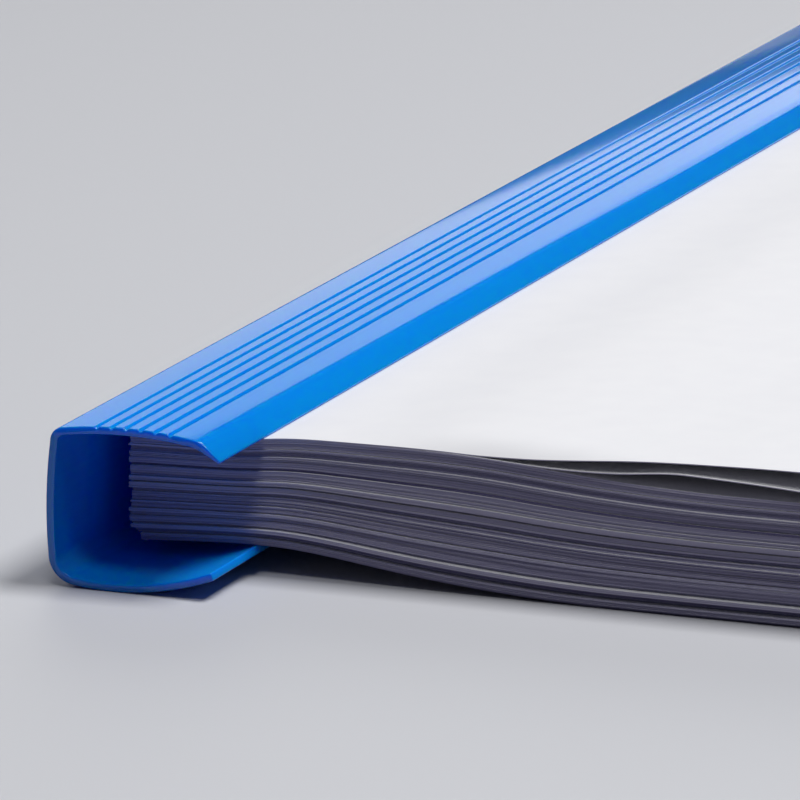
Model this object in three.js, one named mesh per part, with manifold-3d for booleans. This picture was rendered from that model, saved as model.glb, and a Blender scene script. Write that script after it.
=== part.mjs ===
// Slide-on binding bar holding a thick stack of sheets by one long edge, in millimetres.
// X runs from the bar's back to the sheets' free edge, Y runs along the bar, and Z is up from the table.
// The origin is the middle of the footprint, on the table.

import * as THREE from 'three';
import { mergeVertices } from 'three/addons/utils/BufferGeometryUtils.js';
import Module from 'manifold-3d';

const wasm = await Module();
wasm.setup();

// Bar: one extruded channel, open towards the sheets
const barLength = 310;
const barHeight = 16.6;
const barDepth = 18.5;
const wall = 0.8;
const backBow = 0.3; // bulge of the back wall between its corners
const backLean = 0.3; // how much further in its upper corner stands than its lower one
const upperCorner = 1.5; // outer radii of the two corners
const lowerCorner = 3.0;
const crownDrop = 0.67; // fall of the arched upper arm from its crown to the crease
const crownSetback = 7.8; // from the crown to the crease
const lipRun = 2.1; // from the crease to the end of the bevelled lip, along X
const lipDrop = 2.05; // from the crease down to the lip's nose
const lipEdge = 0.4; // thickness of the lip at its round nose
const lowerReach = 17.8; // from the back to the end of the curved lower arm
const lowerSetback = 11.0; // from the lower arm's lowest line to its end
const lowerRise = 2.15; // of its outer face over that stretch

// Finger grooves that run the whole length of the upper arm
const grooveCount = 6;
const groovePitch = 1.56;
const grooveWidth = 0.5;
const grooveDepth = 0.22;
const plainBand = 3.1; // from the last groove to the crease

// Sheets: A4, most of them in one even block, with two loose ones on top
const sheetLength = 297;
const sheetWidth = 210;
const sheetThickness = 0.1;
const blockSheets = 116;
const blockPitch = 0.107; // one sheet and the air over it, where the block lies settled
const blockLayers = 20; // groups of sheets whose edges show as separate lines
const nearOverhang = 11.2; // the bar's near end stands out past the sheets by this much
const boundGap = 3.1; // from the back wall's inner face to the sheets' bound edge
const gripClearance = 0.25; // between the sheets and the lip above or below them
const looseGap = 0.15; // under each loose sheet, where it lies on the one below
const edgeJog = 0.45; // how far the layers' edges are out of line
const jogStep = 0.618; // golden ratio, so that neighbouring layers don't line up again
const jogStart = { near: 0, bound: 0.3, far: 0.5, free: 0.8 };
const layerLap = 0.02; // neighbouring layers run into each other by this much, so that they join
const lowStep = 1.7; // how far the lowest sheets are set in at the bound edge
const lowStepLayers = 3;

// The stack's bend from the raised bar down to the table
const boundSag = 0.65; // the bound edge hangs lower than the sheets in the mouth
const boundSlope = 0.05;
const gripSlope = -0.03; // of the underside between the lips
const dropX = 31; // middle of the slope on the underside
const dropHeight = 1.65;
const dropSlope = -0.13;
const settledX = 56; // the underside lies flat from here on
const swellX = 26; // just past the lips the block springs open again
const swellRise = 0.85; // above the height it has in the mouth
const swellSlope = 0.15;
const swellEndSlope = 0.01;
const fanX = 45; // the thickest place, where the upper sheets start to come down
const fanRise = 0.76; // more than the settled thickness
const fanSlope = -0.09;
const evenX = 68; // the block has its settled thickness from here on

// The loose second sheet parts from the block, arches once and lies down. Lifts are over the block
const partX = 42;
const dipX = 55;
const dipLift = 0.8;
const dipSlope = 0.11;
const archX = 62.5;
const archLift = 1.66;
const layX = 96;

// The loose top sheet bows up over it in one long wave
const bowStartX = 39;
const bowRiseX = 58;
const bowRiseLift = 2.35;
const bowRiseSlope = 0.105;
const bowX = 77;
const bowLift = 3.02;
const bowEndX = 150;

// Faces along the curved stretches
const backSteps = 4;
const cornerSteps = 6;
const crownSteps = 14;
const grooveSteps = 6;
const noseSteps = 5;
const bendStep = 4; // width of the facets across the stack's bend

const creaseX = barDepth - lipRun;
const crownX = creaseX - crownSetback;
const noseRadius = lipEdge / 2;
const noseX = barDepth - noseRadius;
const lowestX = lowerReach - lowerSetback;
const backOffset = backBow * (1 - backLean / (4 * backBow)) ** 2;
const boundX = wall + boundGap;
const freeX = boundX + sheetWidth;
const blockHeight = blockSheets * blockPitch;

// Outer faces of the two arms: height over the table at a distance x from the back
function upperArm(x) {
  return barHeight - crownDrop * ((x - crownX) / crownSetback) ** 2;
}

function lowerArm(x) {
  return lowerRise * ((x - lowestX) / lowerSetback) ** 2;
}

// Angle of an arm's face over the horizontal
function tiltOf(arm, x) {
  const step = 0.01;
  return Math.atan2(arm(x + step) - arm(x - step), 2 * step);
}

// The point of an arm at x, set into the wall square to its face. Inward is 1 for up, -1 for down
function onArm(arm, x, inset, inward) {
  const tilt = tiltOf(arm, x);
  return new THREE.Vector2(x - inward * inset * Math.sin(tilt), arm(x) + inward * inset * Math.cos(tilt));
}

// Depth of the finger grooves at a distance x from the back
function grooveAt(x) {
  const lastGroove = creaseX - plainBand;
  const nearest = Math.min(Math.max(Math.round((lastGroove - x) / groovePitch), 0), grooveCount - 1);
  const offset = Math.abs(x - (lastGroove - nearest * groovePitch)) / grooveWidth;
  return offset < 0.5 ? grooveDepth * Math.cos(Math.PI * offset) : 0;
}

// Places along the upper arm at which its outline turns: even steps, and close ones in each groove
function crownPlaces(start, grooved) {
  const places = [];
  for (let i = 0; i < crownSteps; i += 1) {
    places.push(start + ((creaseX - start) * i) / crownSteps);
  }
  for (let n = 0; grooved && n < grooveCount; n += 1) {
    const centre = creaseX - plainBand - n * groovePitch;
    for (let i = 0; i <= grooveSteps; i += 1) {
      places.push(centre + grooveWidth * (i / grooveSteps - 0.5));
    }
  }
  return places.filter((x) => x >= start && x < creaseX).sort((a, b) => a - b);
}

// Where a corner's arc starts on its arm, its centre and the angle it starts at
function cornerOf(arm, backX, radius, inward) {
  const tilt = tiltOf(arm, backX + radius);
  const start = backX + radius + inward * radius * Math.sin(tilt);
  const centre = new THREE.Vector2(backX + radius, arm(start) + inward * radius * Math.cos(tilt));
  return { start, centre, radius, inward, firstTurn: -inward * tilt };
}

// The arc from the arm round to the back wall
function cornerArc({ centre, radius, inward, firstTurn }, inset) {
  const points = [];
  for (let i = 1; i <= cornerSteps; i += 1) {
    const turn = firstTurn + (Math.PI / 2 - firstTurn) * (i / cornerSteps);
    const reach = radius - inset;
    const across = reach * Math.sin(turn);
    const rise = inward * reach * Math.cos(turn);
    points.push(new THREE.Vector2(centre.x - across, centre.y - rise));
  }
  return points;
}

// One face of the channel's wall, from the crease over the crown and the back to the lower arm's end
function wallFace(inset, grooved) {
  const upper = cornerOf(upperArm, backOffset + backLean, upperCorner, -1);
  const lower = cornerOf(lowerArm, backOffset, lowerCorner, 1);
  const points = [];
  for (const x of crownPlaces(upper.start, grooved).reverse()) {
    points.push(onArm(upperArm, x, grooved ? grooveAt(x) : inset, -1));
  }
  points.push(...cornerArc(upper, inset));
  for (let i = backSteps - 1; i > 0; i -= 1) {
    const share = i / backSteps;
    const x = backOffset + backLean * share - 4 * backBow * share * (1 - share);
    points.push(new THREE.Vector2(x + inset, lower.centre.y + (upper.centre.y - lower.centre.y) * share));
  }
  points.push(...cornerArc(lower, inset).reverse());
  for (let i = 0; i <= crownSteps; i += 1) {
    points.push(onArm(lowerArm, lower.start + ((lowerReach - lower.start) * i) / crownSteps, inset, 1));
  }
  return points;
}

const crease = new THREE.Vector2(creaseX, upperArm(creaseX));
const upperLipHeight = crease.y - lipDrop;
const lowerLipHeight = onArm(lowerArm, lowerReach, wall, 1).y;

// The bevelled lip: its inner crease, round nose and outer crease
function lip() {
  const nose = new THREE.Vector2(noseX, upperLipHeight + noseRadius);
  const along = nose.clone().sub(crease).normalize();
  const inward = new THREE.Vector2(along.y, -along.x);
  const innerCrease = crease.clone().addScaledVector(inward, wall);
  innerCrease.y = upperArm(innerCrease.x) - wall;
  const points = [innerCrease];
  for (let i = 0; i <= noseSteps; i += 1) {
    const turn = (Math.PI * i) / noseSteps;
    const point = nose.clone();
    point.addScaledVector(inward, noseRadius * Math.cos(turn));
    point.addScaledVector(along, noseRadius * Math.sin(turn));
    points.push(point);
  }
  points.push(crease);
  return points;
}

function barSection() {
  return new THREE.Shape([...lip(), ...wallFace(0, true), ...wallFace(wall, false).reverse()]);
}

function slideBar() {
  const geometry = new THREE.ExtrudeGeometry(barSection(), { depth: barLength, bevelEnabled: false });
  geometry.rotateX(Math.PI / 2);
  geometry.translate(0, barLength, 0);
  return geometry;
}

// A smooth height along X through stations that each give a place, a height and a slope
function curveThrough(stations) {
  return (x) => {
    const last = stations.length - 1;
    const next = stations.findIndex(([place]) => place >= x);
    const i = next < 0 ? last : Math.max(next, 1);
    const [x0, z0, slope0] = stations[i - 1];
    const [x1, z1, slope1] = stations[i];
    const span = x1 - x0;
    const t = THREE.MathUtils.clamp((x - x0) / span, 0, 1);
    const ease = t * t * (3 - 2 * t);
    const rise0 = t * (1 - t) ** 2 * span * slope0;
    const rise1 = t * t * (t - 1) * span * slope1;
    return z0 + (z1 - z0) * ease + rise0 + rise1;
  };
}

const lowerGrip = lowerLipHeight + gripClearance;
const looseHeight = 2 * (sheetThickness + looseGap);
const topRest = 2 * looseGap + sheetThickness;
const upperGrip = upperLipHeight - gripClearance - looseHeight;

const underside = curveThrough([
  [boundX, lowerGrip - boundSag, boundSlope],
  [noseX, lowerGrip, gripSlope],
  [dropX, dropHeight, dropSlope],
  [settledX, 0, 0],
  [freeX, 0, 0],
]);

const blockTop = curveThrough([
  [boundX, upperGrip - boundSag, boundSlope],
  [noseX, upperGrip, swellSlope],
  [swellX, upperGrip + swellRise, swellEndSlope],
  [fanX, underside(fanX) + blockHeight + fanRise, fanSlope],
  [evenX, blockHeight, 0],
  [freeX, blockHeight, 0],
]);

// How far each loose sheet lies above the block
const secondLift = curveThrough([
  [boundX, looseGap, 0],
  [partX, looseGap, 0],
  [dipX, dipLift, dipSlope],
  [archX, archLift, 0],
  [layX, looseGap, 0],
  [freeX, looseGap, 0],
]);

const topLift = curveThrough([
  [boundX, topRest, 0],
  [bowStartX, topRest, 0],
  [bowRiseX, bowRiseLift, bowRiseSlope],
  [bowX, bowLift, 0],
  [bowEndX, topRest, 0],
  [freeX, topRest, 0],
]);

// Places across the sheets: close together over the bend and the waves, one wide facet where they lie flat
function acrossPlaces() {
  const places = [];
  const bendEnd = bowEndX + bendStep;
  const count = Math.round((bendEnd - boundX) / bendStep);
  for (let i = 0; i <= count; i += 1) {
    places.push(boundX + ((bendEnd - boundX) * i) / count);
  }
  places.push(freeX);
  return places;
}

// A closed slab from start to end along Y, between two heights that follow the places across it
function slab(places, start, end, under, over) {
  const geometry = new THREE.BoxGeometry(1, 1, 1, places.length - 1, 1, 1);
  const position = geometry.attributes.position;
  for (let i = 0; i < position.count; i += 1) {
    const place = places[Math.round((position.getX(i) + 0.5) * (places.length - 1))];
    const y = position.getY(i) < 0 ? start : end;
    const z = position.getZ(i) < 0 ? under(place) : over(place);
    position.setXYZ(i, place, y, z);
  }
  geometry.computeVertexNormals();
  return geometry;
}

function toSolid(geometry) {
  const bare = geometry.clone();
  bare.deleteAttribute('normal');
  bare.deleteAttribute('uv');
  const merged = mergeVertices(bare);
  const vertProperties = new Float32Array(merged.attributes.position.array);
  const triVerts = new Uint32Array(merged.index.array);
  return new wasm.Manifold(new wasm.Mesh({ numProp: 3, vertProperties, triVerts }));
}

function toGeometry(solid) {
  const mesh = solid.getMesh();
  const geometry = new THREE.BufferGeometry();
  geometry.setAttribute('position', new THREE.BufferAttribute(mesh.vertProperties, 3));
  geometry.setIndex(new THREE.BufferAttribute(mesh.triVerts, 1));
  geometry.computeVertexNormals();
  return geometry;
}

// An uneven but fixed share from 0 to 1 for each layer of the block
function unevenness(layer, start) {
  return (layer * jogStep + start) % 1;
}

// The block: layers of sheets pressed into one body, their edges a little out of line
function paperBlock() {
  const far = nearOverhang + sheetLength;
  let block = null;
  for (let layer = 0; layer < blockLayers; layer += 1) {
    const low = layer / blockLayers;
    const high = (layer + 1) / blockLayers;
    const height = (x, share) => underside(x) + (blockTop(x) - underside(x)) * share;
    const lap = layer < blockLayers - 1 ? layerLap : 0;
    const setIn = lowStep * Math.max(0, 1 - layer / lowStepLayers);
    const places = acrossPlaces();
    places[0] += setIn + edgeJog * unevenness(layer, jogStart.bound);
    places[places.length - 1] -= edgeJog * unevenness(layer, jogStart.free);
    const start = nearOverhang + edgeJog * unevenness(layer, jogStart.near);
    const end = far - edgeJog * unevenness(layer, jogStart.far);
    const under = (x) => height(x, low);
    const over = (x) => height(x, high) + lap;
    const solid = toSolid(slab(places, start, end, under, over));
    block = block ? block.add(solid) : solid;
  }
  return toGeometry(block);
}

function looseSheet(lift) {
  const under = (x) => blockTop(x) + lift(x);
  const over = (x) => under(x) + sheetThickness;
  return slab(acrossPlaces(), nearOverhang, nearOverhang + sheetLength, under, over);
}

const plastic = new THREE.MeshStandardMaterial({ color: 0x1670ee, roughness: 0.25, metalness: 0 });
const paper = new THREE.MeshStandardMaterial({ color: 0xf4f4f8, roughness: 0.9, metalness: 0 });

const group = new THREE.Group();

function place(name, geometry, material) {
  const mesh = new THREE.Mesh(geometry, material.clone());
  mesh.name = name;
  group.add(mesh);
}

place('slide_bar', slideBar(), plastic);
place('paper_block', paperBlock(), paper);
place('second_sheet', looseSheet(secondLift), paper);
place('top_sheet', looseSheet(topLift), paper);

group.position.set(-freeX / 2, -barLength / 2, 0);

export default group;
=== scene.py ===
import math

import bpy
import numpy as np
from mathutils import Matrix, Quaternion, Vector


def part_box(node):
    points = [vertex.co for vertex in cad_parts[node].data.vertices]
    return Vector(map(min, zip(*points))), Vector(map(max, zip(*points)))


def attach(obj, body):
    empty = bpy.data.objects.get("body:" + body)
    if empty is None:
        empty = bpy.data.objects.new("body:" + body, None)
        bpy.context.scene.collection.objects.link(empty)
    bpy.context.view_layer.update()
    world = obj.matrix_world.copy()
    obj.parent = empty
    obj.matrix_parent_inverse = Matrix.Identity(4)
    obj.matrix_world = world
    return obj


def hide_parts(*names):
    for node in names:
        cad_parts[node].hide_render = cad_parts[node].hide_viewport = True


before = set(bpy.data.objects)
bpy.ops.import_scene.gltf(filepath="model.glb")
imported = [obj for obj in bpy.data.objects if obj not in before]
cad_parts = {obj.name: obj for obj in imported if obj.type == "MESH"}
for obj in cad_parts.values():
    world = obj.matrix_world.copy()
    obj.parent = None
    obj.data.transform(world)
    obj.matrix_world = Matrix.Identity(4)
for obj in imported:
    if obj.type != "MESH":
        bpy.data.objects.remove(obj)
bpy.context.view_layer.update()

# Sizes below are millimetres: x from the bar's outer back, y from its near end, z over the table
MM = 0.001

# Bar section
BAR_HEIGHT = 16.6
BAR_DEPTH = 18.5
WALL = 0.8
BACK_BOW = 0.3
BACK_LEAN = 0.3
UPPER_CORNER = 1.5
LOWER_CORNER = 3.0
CROWN_DROP = 0.67
CROWN_SETBACK = 7.8
LIP_RUN = 2.1
LIP_DROP = 2.05
LIP_EDGE = 0.4
LOWER_REACH = 17.8
LOWER_SETBACK = 11.0
LOWER_RISE = 2.15
CREASE_ROUND = 0.55
END_ROUND = 0.18
CUT_ROUND = 0.14  # the sawn ends are broken by this much
FINE_STEP = 0.05  # along the grooved face
COARSE_STEP = 0.4  # along the plain one

# Finger grooves along the upper arm
GROOVE_COUNT = 6
GROOVE_PITCH = 1.56
GROOVE_WIDTH = 0.68
GROOVE_DEPTH = 0.22
PLAIN_BAND = 3.1

# Sheets
SHEET_THICKNESS = 0.1
BLOCK_SHEETS = 116
BLOCK_HEIGHT = 12.41
BOUND_EDGE = 3.9
NEAR_OVERHANG = 11.2
SHEET_WIDTH = 210
SHEET_LENGTH = 297
GRIP_GAP = 0.03
LOOSE_GAP = 0.04
BEND_STEP = 1.2
BEND_END = 90
FLAT_STEP = 5.0

# The top sheet's near edge droops a little where it leaves the block
DROOP = 1.3
DROOP_DEPTH = 5.5
DROOP_POWER = 3  # steepest at the very edge
DROOP_START, DROOP_MIDDLE, DROOP_END = 24, 42, 62
LOOSE_ROWS = 12  # over the droop, and as many again over the rest of the sheet

# Edges with a sharper turn than this, in degrees, are shaded as corners
BAR_SHARP = 50
SHEET_SHARP = 40

# Axes of the part in this frame, from the loose top sheet and the bar
top_low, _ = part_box("top_sheet")
bar_low, bar_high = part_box("slide_bar")
BACK = top_low.x / MM - BOUND_EDGE
NEAR_END = bar_low.y / MM
BAR_LENGTH = (bar_high.y - bar_low.y) / MM

crease_x = BAR_DEPTH - LIP_RUN
crown_x = crease_x - CROWN_SETBACK
nose_radius = LIP_EDGE / 2
nose_x = BAR_DEPTH - nose_radius
lowest_x = LOWER_REACH - LOWER_SETBACK
back_offset = BACK_BOW * (1 - BACK_LEAN / (4 * BACK_BOW)) ** 2
free_edge = BOUND_EDGE + SHEET_WIDTH
near_edge = NEAR_OVERHANG
far_edge = NEAR_OVERHANG + SHEET_LENGTH

# Kinds of node that are used most
MATH = "ShaderNodeMath"
RANDOM = "FunctionNodeRandomValue"
MIX = "ShaderNodeMix"
NOISE = "ShaderNodeTexNoise"


def in_frame(x, y, z):
    """A point given in the bar's millimetres, as metres in the frame."""
    return ((x + BACK) * MM, (y + NEAR_END) * MM, z * MM)


def per_metre(size):
    """The scale of a pattern whose marks are this many millimetres wide."""
    return 1 / (size * MM)


def linear(hex_colour):
    """sRGB hex to linear RGBA."""
    channels = [int(hex_colour[i:i + 2], 16) / 255 for i in (0, 2, 4)]
    return [c / 12.92 if c <= 0.04045 else ((c + 0.055) / 1.055) ** 2.4 for c in channels] + [1.0]


def add_node(tree, kind, inputs=(), **settings):
    """Adds a node, sets its options, and sets or links its inputs, given in order or by name."""
    node = tree.nodes.new(kind)
    for name, value in settings.items():
        setattr(node, name, value)
    usable = [s for s in node.inputs if s.enabled]
    for key, value in inputs.items() if isinstance(inputs, dict) else enumerate(inputs):
        socket = usable[key] if isinstance(key, int) else next(s for s in usable if s.name == key)
        if isinstance(value, bpy.types.Node):
            value = next(s for s in value.outputs if s.enabled)
        if isinstance(value, bpy.types.NodeSocket):
            tree.links.new(value, socket)
        else:
            socket.default_value = value
    return node


def new_object(name, mesh):
    piece = bpy.data.objects.new(name, mesh)
    bpy.context.scene.collection.objects.link(piece)
    return piece


# Bar section: the two arms' outer faces
def upper_arm(x):
    return BAR_HEIGHT - CROWN_DROP * ((x - crown_x) / CROWN_SETBACK) ** 2


def lower_arm(x):
    return LOWER_RISE * ((x - lowest_x) / LOWER_SETBACK) ** 2


def tilt_of(arm, x):
    step = 0.01
    return math.atan2(arm(x + step) - arm(x - step), 2 * step)


def on_arm(arm, x, inset, inward):
    """The point of an arm at x, set into the wall square to its face. Inward is 1 for up, -1 for down."""
    tilt = tilt_of(arm, x)
    return Vector((x - inward * inset * math.sin(tilt), arm(x) + inward * inset * math.cos(tilt)))


def groove_at(x):
    """Depth of the finger grooves, with rounded rims and floors."""
    last = crease_x - PLAIN_BAND
    nearest = min(max(round((last - x) / GROOVE_PITCH), 0), GROOVE_COUNT - 1)
    offset = abs(x - (last - nearest * GROOVE_PITCH)) / GROOVE_WIDTH
    return GROOVE_DEPTH * (1 + math.cos(2 * math.pi * offset)) / 2 if offset < 0.5 else 0.0


def corner_of(arm, back_x, radius, inward):
    """Where a corner's arc starts on its arm, its centre and its first angle."""
    tilt = tilt_of(arm, back_x + radius)
    start = back_x + radius + inward * radius * math.sin(tilt)
    centre = Vector((back_x + radius, arm(start) + inward * radius * math.cos(tilt)))
    return start, centre, -inward * tilt


def corner_arc(centre, radius, inward, first_turn):
    """A corner's arc, from its arm round to the back."""
    steps = 14
    points = []
    for i in range(1, steps + 1):
        turn = first_turn + (math.pi / 2 - first_turn) * i / steps
        points.append(centre + Vector((-radius * math.sin(turn), -inward * radius * math.cos(turn))))
    return points


def wall_face(inset, grooved, crown_step):
    """One face of the wall, from the crease over the crown and the back to the lower arm's end."""
    upper_start, upper_centre, upper_turn = corner_of(upper_arm, back_offset + BACK_LEAN, UPPER_CORNER, -1)
    lower_start, lower_centre, lower_turn = corner_of(lower_arm, back_offset, LOWER_CORNER, 1)
    crown_steps = round((crease_x - upper_start) / crown_step)
    points = []
    for i in range(crown_steps):
        x = crease_x + (upper_start - crease_x) * (i + 1) / crown_steps
        points.append(on_arm(upper_arm, x, groove_at(x) if grooved else inset, -1))
    points += corner_arc(upper_centre, UPPER_CORNER - inset, -1, upper_turn)
    back_steps = 12
    for i in range(1, back_steps):
        share = 1 - i / back_steps
        x = back_offset + BACK_LEAN * share - 4 * BACK_BOW * share * (1 - share)
        points.append(Vector((x + inset, lower_centre.y + (upper_centre.y - lower_centre.y) * share)))
    points += reversed(corner_arc(lower_centre, LOWER_CORNER - inset, 1, lower_turn))
    arm_steps = 30
    for i in range(arm_steps + 1):
        x = lower_start + (LOWER_REACH - lower_start) * i / arm_steps
        points.append(on_arm(lower_arm, x, inset, 1))
    return points


def rounded(before, corner, after, radius):
    """A corner taken off by a curve that starts radius before it and ends radius after it."""
    start = corner + (before - corner).normalized() * radius
    end = corner + (after - corner).normalized() * radius
    steps = 6
    points = []
    for i in range(steps + 1):
        t = i / steps
        points.append(start * (1 - t) ** 2 + corner * 2 * t * (1 - t) + end * t ** 2)
    return points


def up_to_crease(face, crease):
    """A wall face without the stretch that the rounded crease takes the place of."""
    return [p for p in face if p.x < crease.x - CREASE_ROUND or p.y < BAR_HEIGHT / 2]


def bar_outline():
    """The channel's closed section as a list of points, with its creases and ends rounded."""
    crease = Vector((crease_x, upper_arm(crease_x)))
    nose = Vector((nose_x, crease.y - LIP_DROP + nose_radius))
    along = (nose - crease).normalized()
    inward = Vector((along.y, -along.x))
    inner_crease = crease + inward * WALL
    inner_crease.y = upper_arm(inner_crease.x) - WALL
    nose_arc = []
    nose_steps = 10
    for i in range(nose_steps + 1):
        turn = math.pi * i / nose_steps
        nose_arc.append(nose + inward * nose_radius * math.cos(turn) + along * nose_radius * math.sin(turn))
    outer = up_to_crease(wall_face(0, True, FINE_STEP), crease)
    inner = up_to_crease(wall_face(WALL, False, COARSE_STEP), inner_crease)
    outer_end, inner_end = outer.pop(), inner.pop()
    outline = rounded(inner[0], inner_crease, nose_arc[0], CREASE_ROUND)
    outline += nose_arc
    outline += rounded(nose_arc[-1], crease, outer[0], CREASE_ROUND)
    outline += outer
    outline += rounded(outer[-1], outer_end, inner_end, END_ROUND)
    outline += rounded(outer_end, inner_end, inner[-1], END_ROUND)
    outline += reversed(inner)
    return outline


def extruded_bar(plastic):
    """The bar, one section drawn out along y, its sawn ends lightly broken."""
    outline = np.array([tuple(p) for p in bar_outline()])
    run = np.roll(outline, -1, axis=0) - np.roll(outline, 1, axis=0)
    run /= np.linalg.norm(run, axis=1)[:, None]
    inwards = np.stack([-run[:, 1], run[:, 0]], axis=1)
    shoulder = CUT_ROUND * 0.3
    cuts = [(0, CUT_ROUND), (shoulder, shoulder), (CUT_ROUND, 0)]
    stations = cuts + [(BAR_LENGTH - y, inset) for y, inset in reversed(cuts)]
    count = len(outline)
    points = []
    for y, inset in stations:
        points += [in_frame(x, y, z) for x, z in outline + inwards * inset]
    faces = [list(range(count)), [(len(stations) - 1) * count + i for i in reversed(range(count))]]
    for row in range(len(stations) - 1):
        this, after = row * count, (row + 1) * count
        for i in range(count):
            nxt = (i + 1) % count
            faces.append([this + nxt, this + i, after + i, after + nxt])
    mesh = bpy.data.meshes.new("bar_extrusion")
    mesh.from_pydata(points, [], faces)
    mesh.shade_smooth()
    mesh.set_sharp_from_angle(angle=math.radians(BAR_SHARP))
    mesh.materials.append(plastic)
    return new_object("bar_extrusion", mesh)


def curve_through(stations):
    """A smooth height along x through stations that each give a place, a height and a slope."""
    def height(x):
        i = next((n for n, station in enumerate(stations) if station[0] >= x), len(stations) - 1)
        x0, z0, slope0 = stations[max(i, 1) - 1]
        x1, z1, slope1 = stations[max(i, 1)]
        span = x1 - x0
        t = min(max((x - x0) / span, 0), 1)
        ease = t * t * (3 - 2 * t)
        return z0 + (z1 - z0) * ease + t * (1 - t) ** 2 * span * slope0 + t * t * (t - 1) * span * slope1
    return height


# The stack's bend, from the raised bar down to the table: each station is a place, a height and a slope
lower_grip = on_arm(lower_arm, LOWER_REACH, WALL, 1).y + GRIP_GAP
upper_lip = upper_arm(crease_x) - LIP_DROP
loose_height = 2 * (SHEET_THICKNESS + LOOSE_GAP)
upper_grip = upper_lip - GRIP_GAP - loose_height
top_rest = loose_height - SHEET_THICKNESS

underside = curve_through([
    (BOUND_EDGE, lower_grip - 0.65, 0.05),
    (nose_x, lower_grip, -0.01),
    (31, 1.65, -0.13),
    (56, 0.02, 0),
    (free_edge, 0.02, 0),
])
block_top = curve_through([
    (BOUND_EDGE, upper_grip - 0.6, 0.05),
    (nose_x, upper_grip, 0.14),
    (26, 14.0, 0.01),
    (45, 13.62, -0.09),
    (68, BLOCK_HEIGHT, 0),
    (free_edge, BLOCK_HEIGHT, 0),
])

# The loose sheets' undersides, over the block's top
second_lift = curve_through([
    (BOUND_EDGE, LOOSE_GAP, 0),
    (42, LOOSE_GAP, 0),
    (55, 0.78, 0.11),
    (62.5, 1.66, 0),
    (96, LOOSE_GAP, 0),
    (free_edge, LOOSE_GAP, 0),
])
top_lift = curve_through([
    (BOUND_EDGE, top_rest, 0),
    (39, top_rest, 0),
    (58, 2.35, 0.105),
    (77, 3.02, 0),
    (150, top_rest, 0),
    (free_edge, top_rest, 0),
])


def across_places():
    """Places across the sheets: close over the bend and the waves, wider where they lie flat."""
    places, x = [], BOUND_EDGE
    while x < free_edge - FLAT_STEP:
        places.append(x)
        x += BEND_STEP if x < BEND_END else FLAT_STEP
    return places + [free_edge]


def sheet_mesh(name, rows, under, over):
    """A closed thin slab over a grid of places, with its cut edges marked for the material."""
    columns = across_places()
    wide, deep = len(columns), len(rows)
    points = [in_frame(x, y, height(x, y)) for height in (under, over) for y in rows for x in columns]
    faces, cut = [], []
    upper = wide * deep
    for r in range(deep - 1):
        for c in range(wide - 1):
            a = r * wide + c
            faces.append([a, a + wide, a + wide + 1, a + 1])
            faces.append([upper + a, upper + a + 1, upper + a + wide + 1, upper + a + wide])
            cut += [0.0, 0.0]
    rim = list(range(wide))
    rim += [r * wide + wide - 1 for r in range(1, deep)]
    rim += [(deep - 1) * wide + c for c in reversed(range(wide - 1))]
    rim += [r * wide for r in reversed(range(1, deep - 1))]
    for a, b in zip(rim, rim[1:] + rim[:1]):
        faces.append([a, b, upper + b, upper + a])
        cut.append(1.0)
    mesh = bpy.data.meshes.new(name)
    mesh.from_pydata(points, [], faces)
    mesh.attributes.new("cut_edge", "FLOAT", "FACE").data.foreach_set("value", cut)
    return mesh


def mark(mesh, name, values):
    """Gives each of a mesh's points a number that nodes can read by name."""
    mesh.attributes.new(name, "FLOAT", "POINT").data.foreach_set("value", np.array(values, np.float32))


# Paper stack: one sheet, repeated and bent to its place in the block by Geometry Nodes
CALMER_EDGES = 0.45  # the other edges are less out of line than the near ones
LEAST_SHIFT = 0.5
ALTERNATE = 0.35  # how much of a clump's standing out goes by turns, and not by chance
# The clump's share of a sheet's edge tone is painted light, lighter the further the clump stands out
OWN_TONE = 0.4  # how much of a sheet's tone is its own, and not its clump's
WAVE_RATES = (45, 12, 9)  # waves to a metre across and along the sheets, and over the stack's height
GAP_SEED, STAND_SEED, OWN_SEED, SHARED_SEED, SKEW_SEED, TONE_SEED = 3, 52, 20, 30, 41, 51
STACK_INPUTS = [
    ("Sheets", "NodeSocketInt", BLOCK_SHEETS),
    ("Sheet", "NodeSocketFloat", SHEET_THICKNESS * MM),
    ("Least Gap", "NodeSocketFloat", 0.004 * MM),
    ("Widest Gap", "NodeSocketFloat", 0.1 * MM),
    ("Group Size", "NodeSocketFloat", 4.6),
    ("Group Shift", "NodeSocketFloat", 4.0),
    ("Sheet Jog", "NodeSocketFloat", 0.14 * MM),
    ("Group Jog", "NodeSocketFloat", 0.6 * MM),
    ("Group Skew", "NodeSocketFloat", 0.006),
    ("Low Step", "NodeSocketFloat", 1.7 * MM),
    ("Low Share", "NodeSocketFloat", 0.13),
    ("Wave", "NodeSocketFloat", 0.05 * MM),
    ("Seed", "NodeSocketInt", 7),
]


def group_nodes(tree, given, index):
    """Clumps of a few sheets: each sheet's clump, and 1 where it is the last one of it."""
    size = given["Group Size"]
    block = add_node(tree, MATH, [index, size], operation="DIVIDE")
    block = add_node(tree, MATH, [block], operation="FLOOR")
    shift = add_node(tree, RANDOM, [LEAST_SHIFT, given["Group Shift"], block, given["Seed"]])
    place = add_node(tree, MATH, [index, shift], operation="ADD")
    group = add_node(tree, MATH, [place, size], operation="DIVIDE")
    group = add_node(tree, MATH, [group], operation="FLOOR")
    after = add_node(tree, MATH, [place, 1.0], operation="ADD")
    after = add_node(tree, MATH, [after, size], operation="DIVIDE")
    after = add_node(tree, MATH, [after], operation="FLOOR")
    return group, add_node(tree, MATH, [after, group], operation="SUBTRACT")


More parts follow.
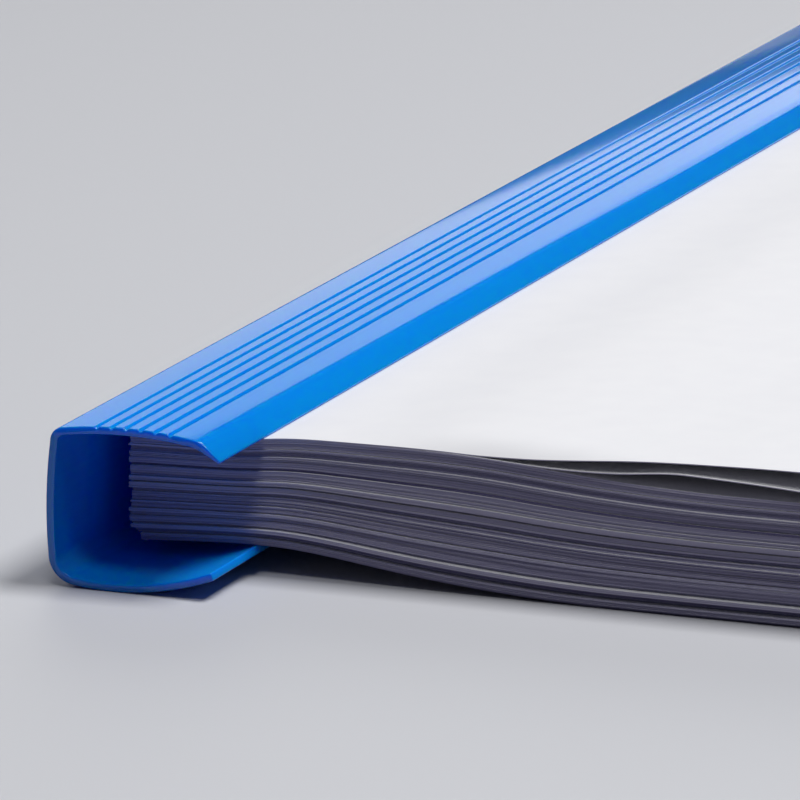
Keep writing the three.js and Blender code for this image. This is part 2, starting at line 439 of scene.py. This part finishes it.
def pile_nodes(tree, given, index, last_of_group):
    """Each sheet's place and thickness as shares of the block's height."""
    gap = add_node(tree, RANDOM, [0.0, given["Widest Gap"], index, GAP_SEED])
    gap = add_node(tree, MATH, [last_of_group, gap], operation="MULTIPLY")
    pitch = add_node(tree, MATH, [gap, given["Sheet"]], operation="ADD")
    pitch = add_node(tree, MATH, [pitch, given["Least Gap"]], operation="ADD")
    pile = add_node(tree, "GeometryNodeAccumulateField", [pitch])
    total = pile.outputs["Total"]
    share = add_node(tree, MATH, [pile.outputs["Trailing"], total], operation="DIVIDE")
    return share, add_node(tree, MATH, [given["Sheet"], total], operation="DIVIDE")


def edge_nodes(tree, given, index, group):
    """How far each sheet's edges stand in from the block's outline, and the painted light on its cut edges.
    """
    turns = add_node(tree, MATH, [group, 2.0], operation="MODULO")
    turns = add_node(tree, MATH, [turns, ALTERNATE], operation="MULTIPLY")
    stand = add_node(tree, RANDOM, [0.0, 1.0, group, STAND_SEED])
    stand = add_node(tree, MATH, [stand, 1 - ALTERNATE, turns], operation="MULTIPLY_ADD")
    set_in = add_node(tree, MATH, [1.0, stand], operation="SUBTRACT")
    own = add_node(tree, RANDOM, [0.0, given["Sheet Jog"], index, OWN_SEED])
    shared = add_node(tree, MATH, [set_in, given["Group Jog"]], operation="MULTIPLY")
    values = {"near": add_node(tree, MATH, [own, shared], operation="ADD")}
    for number, edge in enumerate(("far", "bound", "free"), start=1):
        own = add_node(tree, RANDOM, [0.0, given["Sheet Jog"], index, OWN_SEED + number])
        shared = add_node(tree, RANDOM, [0.0, given["Group Jog"], group, SHARED_SEED + number])
        both = add_node(tree, MATH, [own, shared], operation="ADD")
        values[edge] = add_node(tree, MATH, [both, CALMER_EDGES], operation="MULTIPLY")
    other_way = add_node(tree, MATH, [-1.0, given["Group Skew"]], operation="MULTIPLY")
    values["skew"] = add_node(tree, RANDOM, [other_way, given["Group Skew"], group, SKEW_SEED])
    # Painted light: the cut edges of sheets that stand out are painted lighter, as if they caught more
    # light, and those set in darker; part of each sheet's tone is its own, at random
    own = add_node(tree, RANDOM, [0.0, OWN_TONE, index, TONE_SEED])
    values["painted_light_and_tone"] = add_node(tree, MATH, [stand, 1 - OWN_TONE, own], operation="MULTIPLY_ADD")
    return values


def shifted_nodes(tree, given, read, place):
    """Where a point of a sheet lies once the sheet's edges are out of line, as x and y."""
    low = add_node(tree, MATH, [read["share"], given["Low Share"]], operation="DIVIDE")
    low = add_node(tree, MATH, [1.0, low], operation="SUBTRACT", use_clamp=True)
    bound = add_node(tree, MATH, [low, given["Low Step"], read["bound"]], operation="MULTIPLY_ADD")
    near = add_node(tree, MATH, [read["skew"], read["along"], read["near"]], operation="MULTIPLY_ADD")
    near = add_node(tree, MATH, [near, 0.0], operation="MAXIMUM")
    moved = []
    for axis, start, start_in, end, end_in in (
        ("X", "at_bound", bound, "at_free", read["free"]),
        ("Y", "at_near", near, "at_far", read["far"]),
    ):
        forward = [read[start], start_in, place.outputs[axis]]
        forward = add_node(tree, MATH, forward, operation="MULTIPLY_ADD")
        back = add_node(tree, MATH, [read[end], end_in], operation="MULTIPLY")
        moved.append(add_node(tree, MATH, [forward, back], operation="SUBTRACT"))
    return moved


def height_nodes(tree, given, read, place):
    """The height of a point of a sheet, between the block's two curves and with a slight ripple."""
    rise = add_node(tree, MATH, [read["face_up"], read["thick"], read["share"]], operation="MULTIPLY_ADD")
    room = add_node(tree, MATH, [read["over"], read["under"]], operation="SUBTRACT")
    height = add_node(tree, MATH, [rise, room, read["under"]], operation="MULTIPLY_ADD")
    grain = [place.outputs["X"], place.outputs["Y"], read["share"]]
    grain = add_node(tree, "ShaderNodeCombineXYZ", grain)
    grain = add_node(tree, "ShaderNodeVectorMath", [grain, WAVE_RATES], operation="MULTIPLY")
    ripple = add_node(tree, NOISE, {"Vector": grain, "Scale": 1.0, "Detail": 1.0})
    ripple = add_node(tree, MATH, [ripple, 0.5], operation="SUBTRACT")
    # The outermost sheets don't ripple, so they keep to the lips, the table and the loose sheet above
    inner = add_node(tree, MATH, [read["share"], math.pi], operation="MULTIPLY")
    inner = add_node(tree, MATH, [inner], operation="SINE")
    ripple = add_node(tree, MATH, [ripple, inner], operation="MULTIPLY")
    return add_node(tree, MATH, [ripple, given["Wave"], height], operation="MULTIPLY_ADD")


def bend_nodes(tree, given, geometry):
    """Moves each sheet of the pile to its place in the block, its edges a little out of line."""
    names = ("share", "thick", "near", "far", "bound", "free", "skew", "under", "over", "face_up",
             "at_near", "at_far", "at_bound", "at_free", "along")
    read = {name: add_node(tree, "GeometryNodeInputNamedAttribute", [name]).outputs[0] for name in names}
    place = add_node(tree, "ShaderNodeSeparateXYZ", [add_node(tree, "GeometryNodeInputPosition")])
    x, y = shifted_nodes(tree, given, read, place)
    bent = add_node(tree, "ShaderNodeCombineXYZ", [x, y, height_nodes(tree, given, read, place)])
    return add_node(tree, "GeometryNodeSetPosition", {"Geometry": geometry, "Position": bent})


def stack_tree(paper):
    """The tree that piles one sheet up: clumps, places in the pile, edges out of line, and the bend."""
    tree = bpy.data.node_groups.new("paper_stack", "GeometryNodeTree")
    tree.interface.new_socket("Geometry", in_out="INPUT", socket_type="NodeSocketGeometry")
    for name, kind, value in STACK_INPUTS:
        tree.interface.new_socket(name, in_out="INPUT", socket_type=kind).default_value = value
    tree.interface.new_socket("Geometry", in_out="OUTPUT", socket_type="NodeSocketGeometry")
    given = {s.name: s for s in add_node(tree, "NodeGroupInput").outputs}
    index = add_node(tree, "GeometryNodeInputIndex")
    group, last_of_group = group_nodes(tree, given, index)
    share, thick = pile_nodes(tree, given, index, last_of_group)
    stored = {"share": share, "thick": thick, **edge_nodes(tree, given, index, group)}
    line = add_node(tree, "GeometryNodeMeshLine", {"Count": given["Sheets"], "Offset": (0, 0, 0)})
    for name, value in stored.items():
        values = {"Geometry": line, "Name": name, "Value": value}
        line = add_node(tree, "GeometryNodeStoreNamedAttribute", values)
    placed = {"Points": line, "Instance": given["Geometry"]}
    copies = add_node(tree, "GeometryNodeInstanceOnPoints", placed)
    pile = add_node(tree, "GeometryNodeRealizeInstances", {"Geometry": copies})
    bent = bend_nodes(tree, given, pile)
    done = add_node(tree, "GeometryNodeSetMaterial", {"Geometry": bent, "Material": paper})
    add_node(tree, "NodeGroupOutput", {"Geometry": done})
    return tree


def one_sheet():
    """The flat sheet that is piled up, its points marked with what the bend needs."""
    rows = [near_edge, far_edge]
    mesh = sheet_mesh("one_sheet", rows, lambda x, y: 0, lambda x, y: 0)
    columns = across_places()
    spots = [(x, y, up) for up in (0, 1) for y in rows for x in columns]
    mark(mesh, "under", [underside(x) * MM for x, y, up in spots])
    mark(mesh, "over", [block_top(x) * MM for x, y, up in spots])
    mark(mesh, "face_up", [up for x, y, up in spots])
    mark(mesh, "along", [(x - BOUND_EDGE) * MM for x, y, up in spots])
    mark(mesh, "at_near", [y == near_edge for x, y, up in spots])
    mark(mesh, "at_far", [y == far_edge for x, y, up in spots])
    mark(mesh, "at_bound", [x == columns[0] for x, y, up in spots])
    mark(mesh, "at_free", [x == columns[-1] for x, y, up in spots])
    return new_object("one_sheet", mesh)


def paper_stack(paper):
    """The block's sheets, each a thin closed slab of its own."""
    carrier = one_sheet()
    modifier = carrier.modifiers.new("paper_stack", "NODES")
    modifier.node_group = stack_tree(paper)
    values = {name: value for name, _, value in STACK_INPUTS}
    for socket in modifier.node_group.interface.items_tree:
        if socket.name in values:
            modifier[socket.identifier] = values[socket.name]
    graph = bpy.context.evaluated_depsgraph_get()
    finished = bpy.data.meshes.new_from_object(
        carrier.evaluated_get(graph), preserve_all_data_layers=True, depsgraph=graph,
    )
    bpy.data.objects.remove(carrier)
    finished.name = "paper_sheets"
    finished.shade_smooth()
    finished.set_sharp_from_angle(angle=math.radians(SHEET_SHARP))
    return new_object("paper_sheets", finished)


def droop_at(x):
    """How far the sheet behind its near edge stands over that edge."""
    if x <= DROOP_START or x >= DROOP_END:
        return 0.0
    half = DROOP_MIDDLE - DROOP_START if x < DROOP_MIDDLE else DROOP_END - DROOP_MIDDLE
    return DROOP * (1 + math.cos(math.pi * (x - DROOP_MIDDLE) / half)) / 2


def loose_sheet(name, paper, lift, inset, slant, droop, painted_light_and_tone):
    """A sheet that lies over the block at a lift, set back by inset and turned by slant."""
    flat = near_edge + DROOP_DEPTH
    rows = [near_edge + DROOP_DEPTH * i / LOOSE_ROWS for i in range(LOOSE_ROWS + 1)]
    rows += [flat + (far_edge - flat) * i / LOOSE_ROWS for i in range(1, LOOSE_ROWS + 1)]

    def under(x, y):
        back = min((y - near_edge) / DROOP_DEPTH, 1)
        return block_top(x) + lift(x) + droop * droop_at(x) * (1 - (1 - back) ** DROOP_POWER)

    mesh = sheet_mesh(name, rows, under, lambda x, y: under(x, y) + SHEET_THICKNESS)
    for vertex in mesh.vertices:
        vertex.co.y += inset * MM - slant * (vertex.co.x - (BACK + BOUND_EDGE) * MM)
    mark(mesh, "painted_light_and_tone", [painted_light_and_tone] * len(mesh.vertices))
    mesh.shade_smooth()
    mesh.set_sharp_from_angle(angle=math.radians(SHEET_SHARP))
    mesh.materials.append(paper)
    return new_object(name, mesh)


def new_material(name):
    material = bpy.data.materials.new(name)
    material.use_nodes = True
    tree = material.node_tree
    tree.nodes.clear()
    place = add_node(tree, "ShaderNodeTexCoord").outputs["Object"]
    return material, tree, place


def extruded_blue_plastic():
    """Glossy through-coloured plastic from an extrusion die: a deep, slightly translucent blue with faint
    draw lines along the bar and a very fine orange-peel, which break up its long reflections."""
    material, tree, place = new_material("extruded_blue_plastic")
    line_width, line_run, peel_width, relief = 0.35, 90, 0.9, 0.006
    rates = (per_metre(line_width), per_metre(line_run), per_metre(line_width))
    along = add_node(tree, "ShaderNodeMapping", {"Vector": place, "Scale": rates})
    lines = add_node(tree, NOISE, {"Vector": along, "Scale": 1.0, "Detail": 3.0, "Roughness": 0.6})
    peel = add_node(tree, NOISE, {"Vector": place, "Scale": per_metre(peel_width), "Detail": 2.0})
    blues = {"Factor": lines, "A": linear("0089FC"), "B": linear("0092FF")}
    shade = add_node(tree, MIX, blues, data_type="RGBA")
    gloss = add_node(tree, "ShaderNodeMapRange", {"Value": peel, "To Min": 0.09, "To Max": 0.15})
    rise = {"Strength": 0.2, "Distance": relief * MM}
    draw = add_node(tree, "ShaderNodeBump", {"Height": lines, **rise})
    skin = add_node(tree, "ShaderNodeBump", {"Height": peel, **rise, "Normal": draw})
    surface = add_node(tree, "ShaderNodeBsdfPrincipled", {
        "Base Color": shade, "Roughness": gloss, "Normal": skin, "IOR": 1.5,
        "Subsurface Weight": 0.85, "Subsurface Radius": (0.05, 0.12, 1.8), "Subsurface Scale": MM,
    })
    add_node(tree, "ShaderNodeOutputMaterial", {"Surface": surface})
    return material


def office_paper():
    """White uncoated paper: matt, with a faint fibre tooth and cloudiness. Its cut edges are painted a
    darker grey-violet, painted shade for the shadow that lies between the sheets, each sheet a little
    different."""
    material, tree, place = new_material("office_paper")
    fibre_width, cloud_width, relief = 0.35, 4, 0.006
    tooth = add_node(tree, NOISE, {"Vector": place, "Scale": per_metre(fibre_width), "Detail": 4.0})
    cloud = add_node(tree, NOISE, {"Vector": place, "Scale": per_metre(cloud_width), "Detail": 2.0})
    whites = {"Factor": cloud, "A": linear("EEEEF1"), "B": linear("F3F3F5")}
    face = add_node(tree, MIX, whites, data_type="RGBA")
    painted_light_and_tone = add_node(tree, "ShaderNodeAttribute", attribute_name="painted_light_and_tone").outputs["Fac"]
    # Painted shade and light: the cut edges' grey-violet stands in for the shade between the sheets, and is
    # lighter where a sheet stands out and catches light
    greys = {"Factor": painted_light_and_tone, "A": linear("726D96"), "B": linear("E2DFF6")}
    edge = add_node(tree, MIX, greys, data_type="RGBA")
    cut = add_node(tree, "ShaderNodeAttribute", attribute_name="cut_edge").outputs["Fac"]
    colour = add_node(tree, MIX, {"Factor": cut, "A": face, "B": edge}, data_type="RGBA")
    bump = add_node(tree, "ShaderNodeBump", {"Height": tooth, "Strength": 0.5, "Distance": relief * MM})
    surface = add_node(tree, "ShaderNodeBsdfPrincipled", {
        "Base Color": colour, "Roughness": 0.85, "Normal": bump, "IOR": 1.45, "Specular IOR Level": 0.3,
    })
    add_node(tree, "ShaderNodeOutputMaterial", {"Surface": surface})
    return material


def pale_floor_paint():
    """Pale matt paint where it is looked at or mirrored, which throws little light up into the channel."""
    material, tree, _ = new_material("pale_floor")
    path = add_node(tree, "ShaderNodeLightPath").outputs
    seen = add_node(tree, MATH, [path["Is Camera Ray"], path["Is Glossy Ray"]], operation="MAXIMUM")
    seen = add_node(tree, MATH, [seen, path["Is Transmission Ray"]], operation="MAXIMUM")
    greys = {"Factor": seen, "A": linear("74727C"), "B": linear("CFD0D4")}
    shade = add_node(tree, MIX, greys, data_type="RGBA")
    surface = add_node(tree, "ShaderNodeBsdfPrincipled", {"Base Color": shade, "Roughness": 0.55})
    add_node(tree, "ShaderNodeOutputMaterial", {"Surface": surface})
    return material


def plain_floor():
    half = 4.0
    below = -0.03 * MM  # so that its face and the lowest sheet's don't coincide
    mesh = bpy.data.meshes.new("floor")
    corners = [(-half, -half, below), (half, -half, below), (half, half, below), (-half, half, below)]
    mesh.from_pydata(corners, [], [[0, 1, 2, 3]])
    mesh.materials.append(pale_floor_paint())
    floor = new_object("floor", mesh)


def area_lamp(name, place, width, height, power, roll=0.0):
    """A rectangular lamp that faces the middle of the part, turned by roll about that line."""
    data = bpy.data.lights.new(name, "AREA")
    data.shape = "RECTANGLE"
    data.size, data.size_y = width, height
    data.energy = power
    lamp = bpy.data.objects.new(name, data)
    lamp.location = place
    aim = (-Vector(place)).to_track_quat("-Z", "Y")
    lamp.rotation_euler = (aim @ Quaternion((0, 0, 1), roll)).to_euler()
    bpy.context.scene.collection.objects.link(lamp)


def studio_light():
    """A soft lamp overhead leaves the sheets' near edges in shade. A weak one above the front reaches them
    and catches every sheet that stands out, and its light turns blue where it falls through the bar's
    overhang. A wide one low behind lies as an even sheen along the bar's upper arm, its edge turned to
    follow it."""
    area_lamp("overhead", (0.42, 0.03, 1.2), width=0.45, height=0.45, power=13.3)
    area_lamp("behind", (-1.04, 2.95, 1.46), width=2.3, height=1.75, power=15.5, roll=math.radians(33))
    area_lamp("front", (0.1, -0.7, 1.5), width=0.4, height=0.4, power=5)
    world = bpy.data.worlds.new("studio")
    world.use_nodes = True
    cool_shade = world.node_tree.nodes["Background"].inputs
    cool_shade["Color"].default_value = (0.64, 0.7, 1.0, 1.0)
    cool_shade["Strength"].default_value = 0.05
    bpy.context.scene.world = world


# The camera comes from the photograph: the bar recedes to the upper right, seen from a little above
PHOTO_SIZE = 800
YAW = math.radians(21.5)
PITCH = math.radians(13.4)
FOCAL_PIXELS = 8763
PIXELS_PER_MM = 10.2
CORNER_PIXEL = (48, 575)  # the foot of the bar's end face, at its outer back
CORNER_PLACE = (0.17, 0, 1.06)
SENSOR = 36
CLIP_START = 0.01


def make_camera():
    """A camera so placed that the bar's corner falls on its pixel, at the photograph's scale."""
    level = math.cos(PITCH)
    forward = Vector((-math.sin(YAW) * level, math.cos(YAW) * level, -math.sin(PITCH)))
    right = Vector((math.cos(YAW), math.sin(YAW), 0))
    up = right.cross(forward)
    depth = FOCAL_PIXELS / PIXELS_PER_MM * MM
    across = (CORNER_PIXEL[0] - PHOTO_SIZE / 2) / FOCAL_PIXELS
    rise = (PHOTO_SIZE / 2 - CORNER_PIXEL[1]) / FOCAL_PIXELS
    data = bpy.data.cameras.new("camera")
    data.sensor_width = SENSOR
    data.lens = FOCAL_PIXELS / PHOTO_SIZE * SENSOR
    data.clip_start = CLIP_START
    camera = bpy.data.objects.new("camera", data)
    turn = Matrix((right, up, -forward)).transposed().to_4x4()
    place = Vector(in_frame(*CORNER_PLACE)) - depth * (forward + across * right + rise * up)
    camera.matrix_world = Matrix.Translation(place) @ turn
    bpy.context.scene.collection.objects.link(camera)
    bpy.context.scene.camera = camera


make_camera()
paper = office_paper()

bar = extruded_bar(extruded_blue_plastic())
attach(bar, "bar")
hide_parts("slide_bar")

stack = paper_stack(paper)
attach(stack, "sheets")
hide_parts("paper_block")

# Its cut edges are painted at the lightest tone, a painted highlight for the light its near edge catches
second = loose_sheet("loose_second_sheet", paper, second_lift, inset=0.35, slant=0.009, droop=0.0, painted_light_and_tone=1.0)
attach(second, "sheets")
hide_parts("second_sheet")

# Its cut edges are painted at a light tone, painted light for the light its near edge catches
top = loose_sheet("loose_top_sheet", paper, top_lift, inset=0.1, slant=0.0, droop=1.0, painted_light_and_tone=0.9)
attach(top, "sheets")
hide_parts("top_sheet")

plain_floor()
studio_light()
bpy.context.scene.view_settings.view_transform = "Standard"
